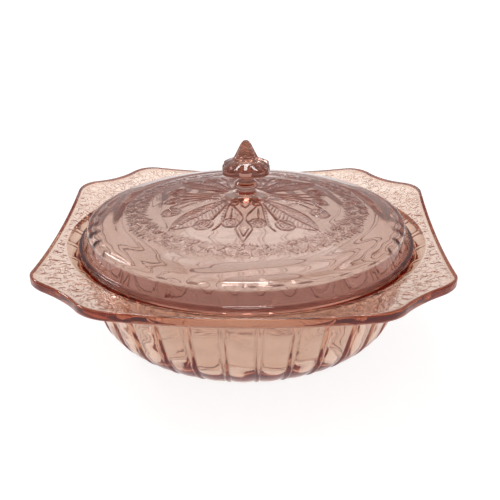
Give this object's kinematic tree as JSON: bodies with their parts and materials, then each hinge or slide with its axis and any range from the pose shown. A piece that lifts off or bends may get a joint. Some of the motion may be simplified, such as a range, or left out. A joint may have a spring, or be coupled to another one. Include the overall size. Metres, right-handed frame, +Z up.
{
  "type": "covered glass dish",
  "caption": "Square-rimmed pressed-glass bowl on a round foot with ribbed sides, closed by a round domed lid with a lobed knob that lifts off.",
  "frame": {"origin": "middle of the foot ring, on the surface that the bowl stands on", "axes": "+Z up along the axis of the bowl and the lid; X and Y along the straight sides of the square rim"},
  "size_m": [0.2286, 0.2286, 0.12],
  "materials": {
    "bowl_glass": "clear pink pressed glass, fire-polished",
    "lid_glass": "clear pink pressed glass, fire-polished"
  },
  "bodies": {
    "bowl": {"bowl": "bowl_glass"},
    "lid": {"lid": "lid_glass"}
  },
  "joints": [
    {"name": "lid_lift", "type": "slide", "parent": "bowl", "child": "lid", "axis": [0, 0, 1], "range_m": [0, 0.1]}
  ]
}
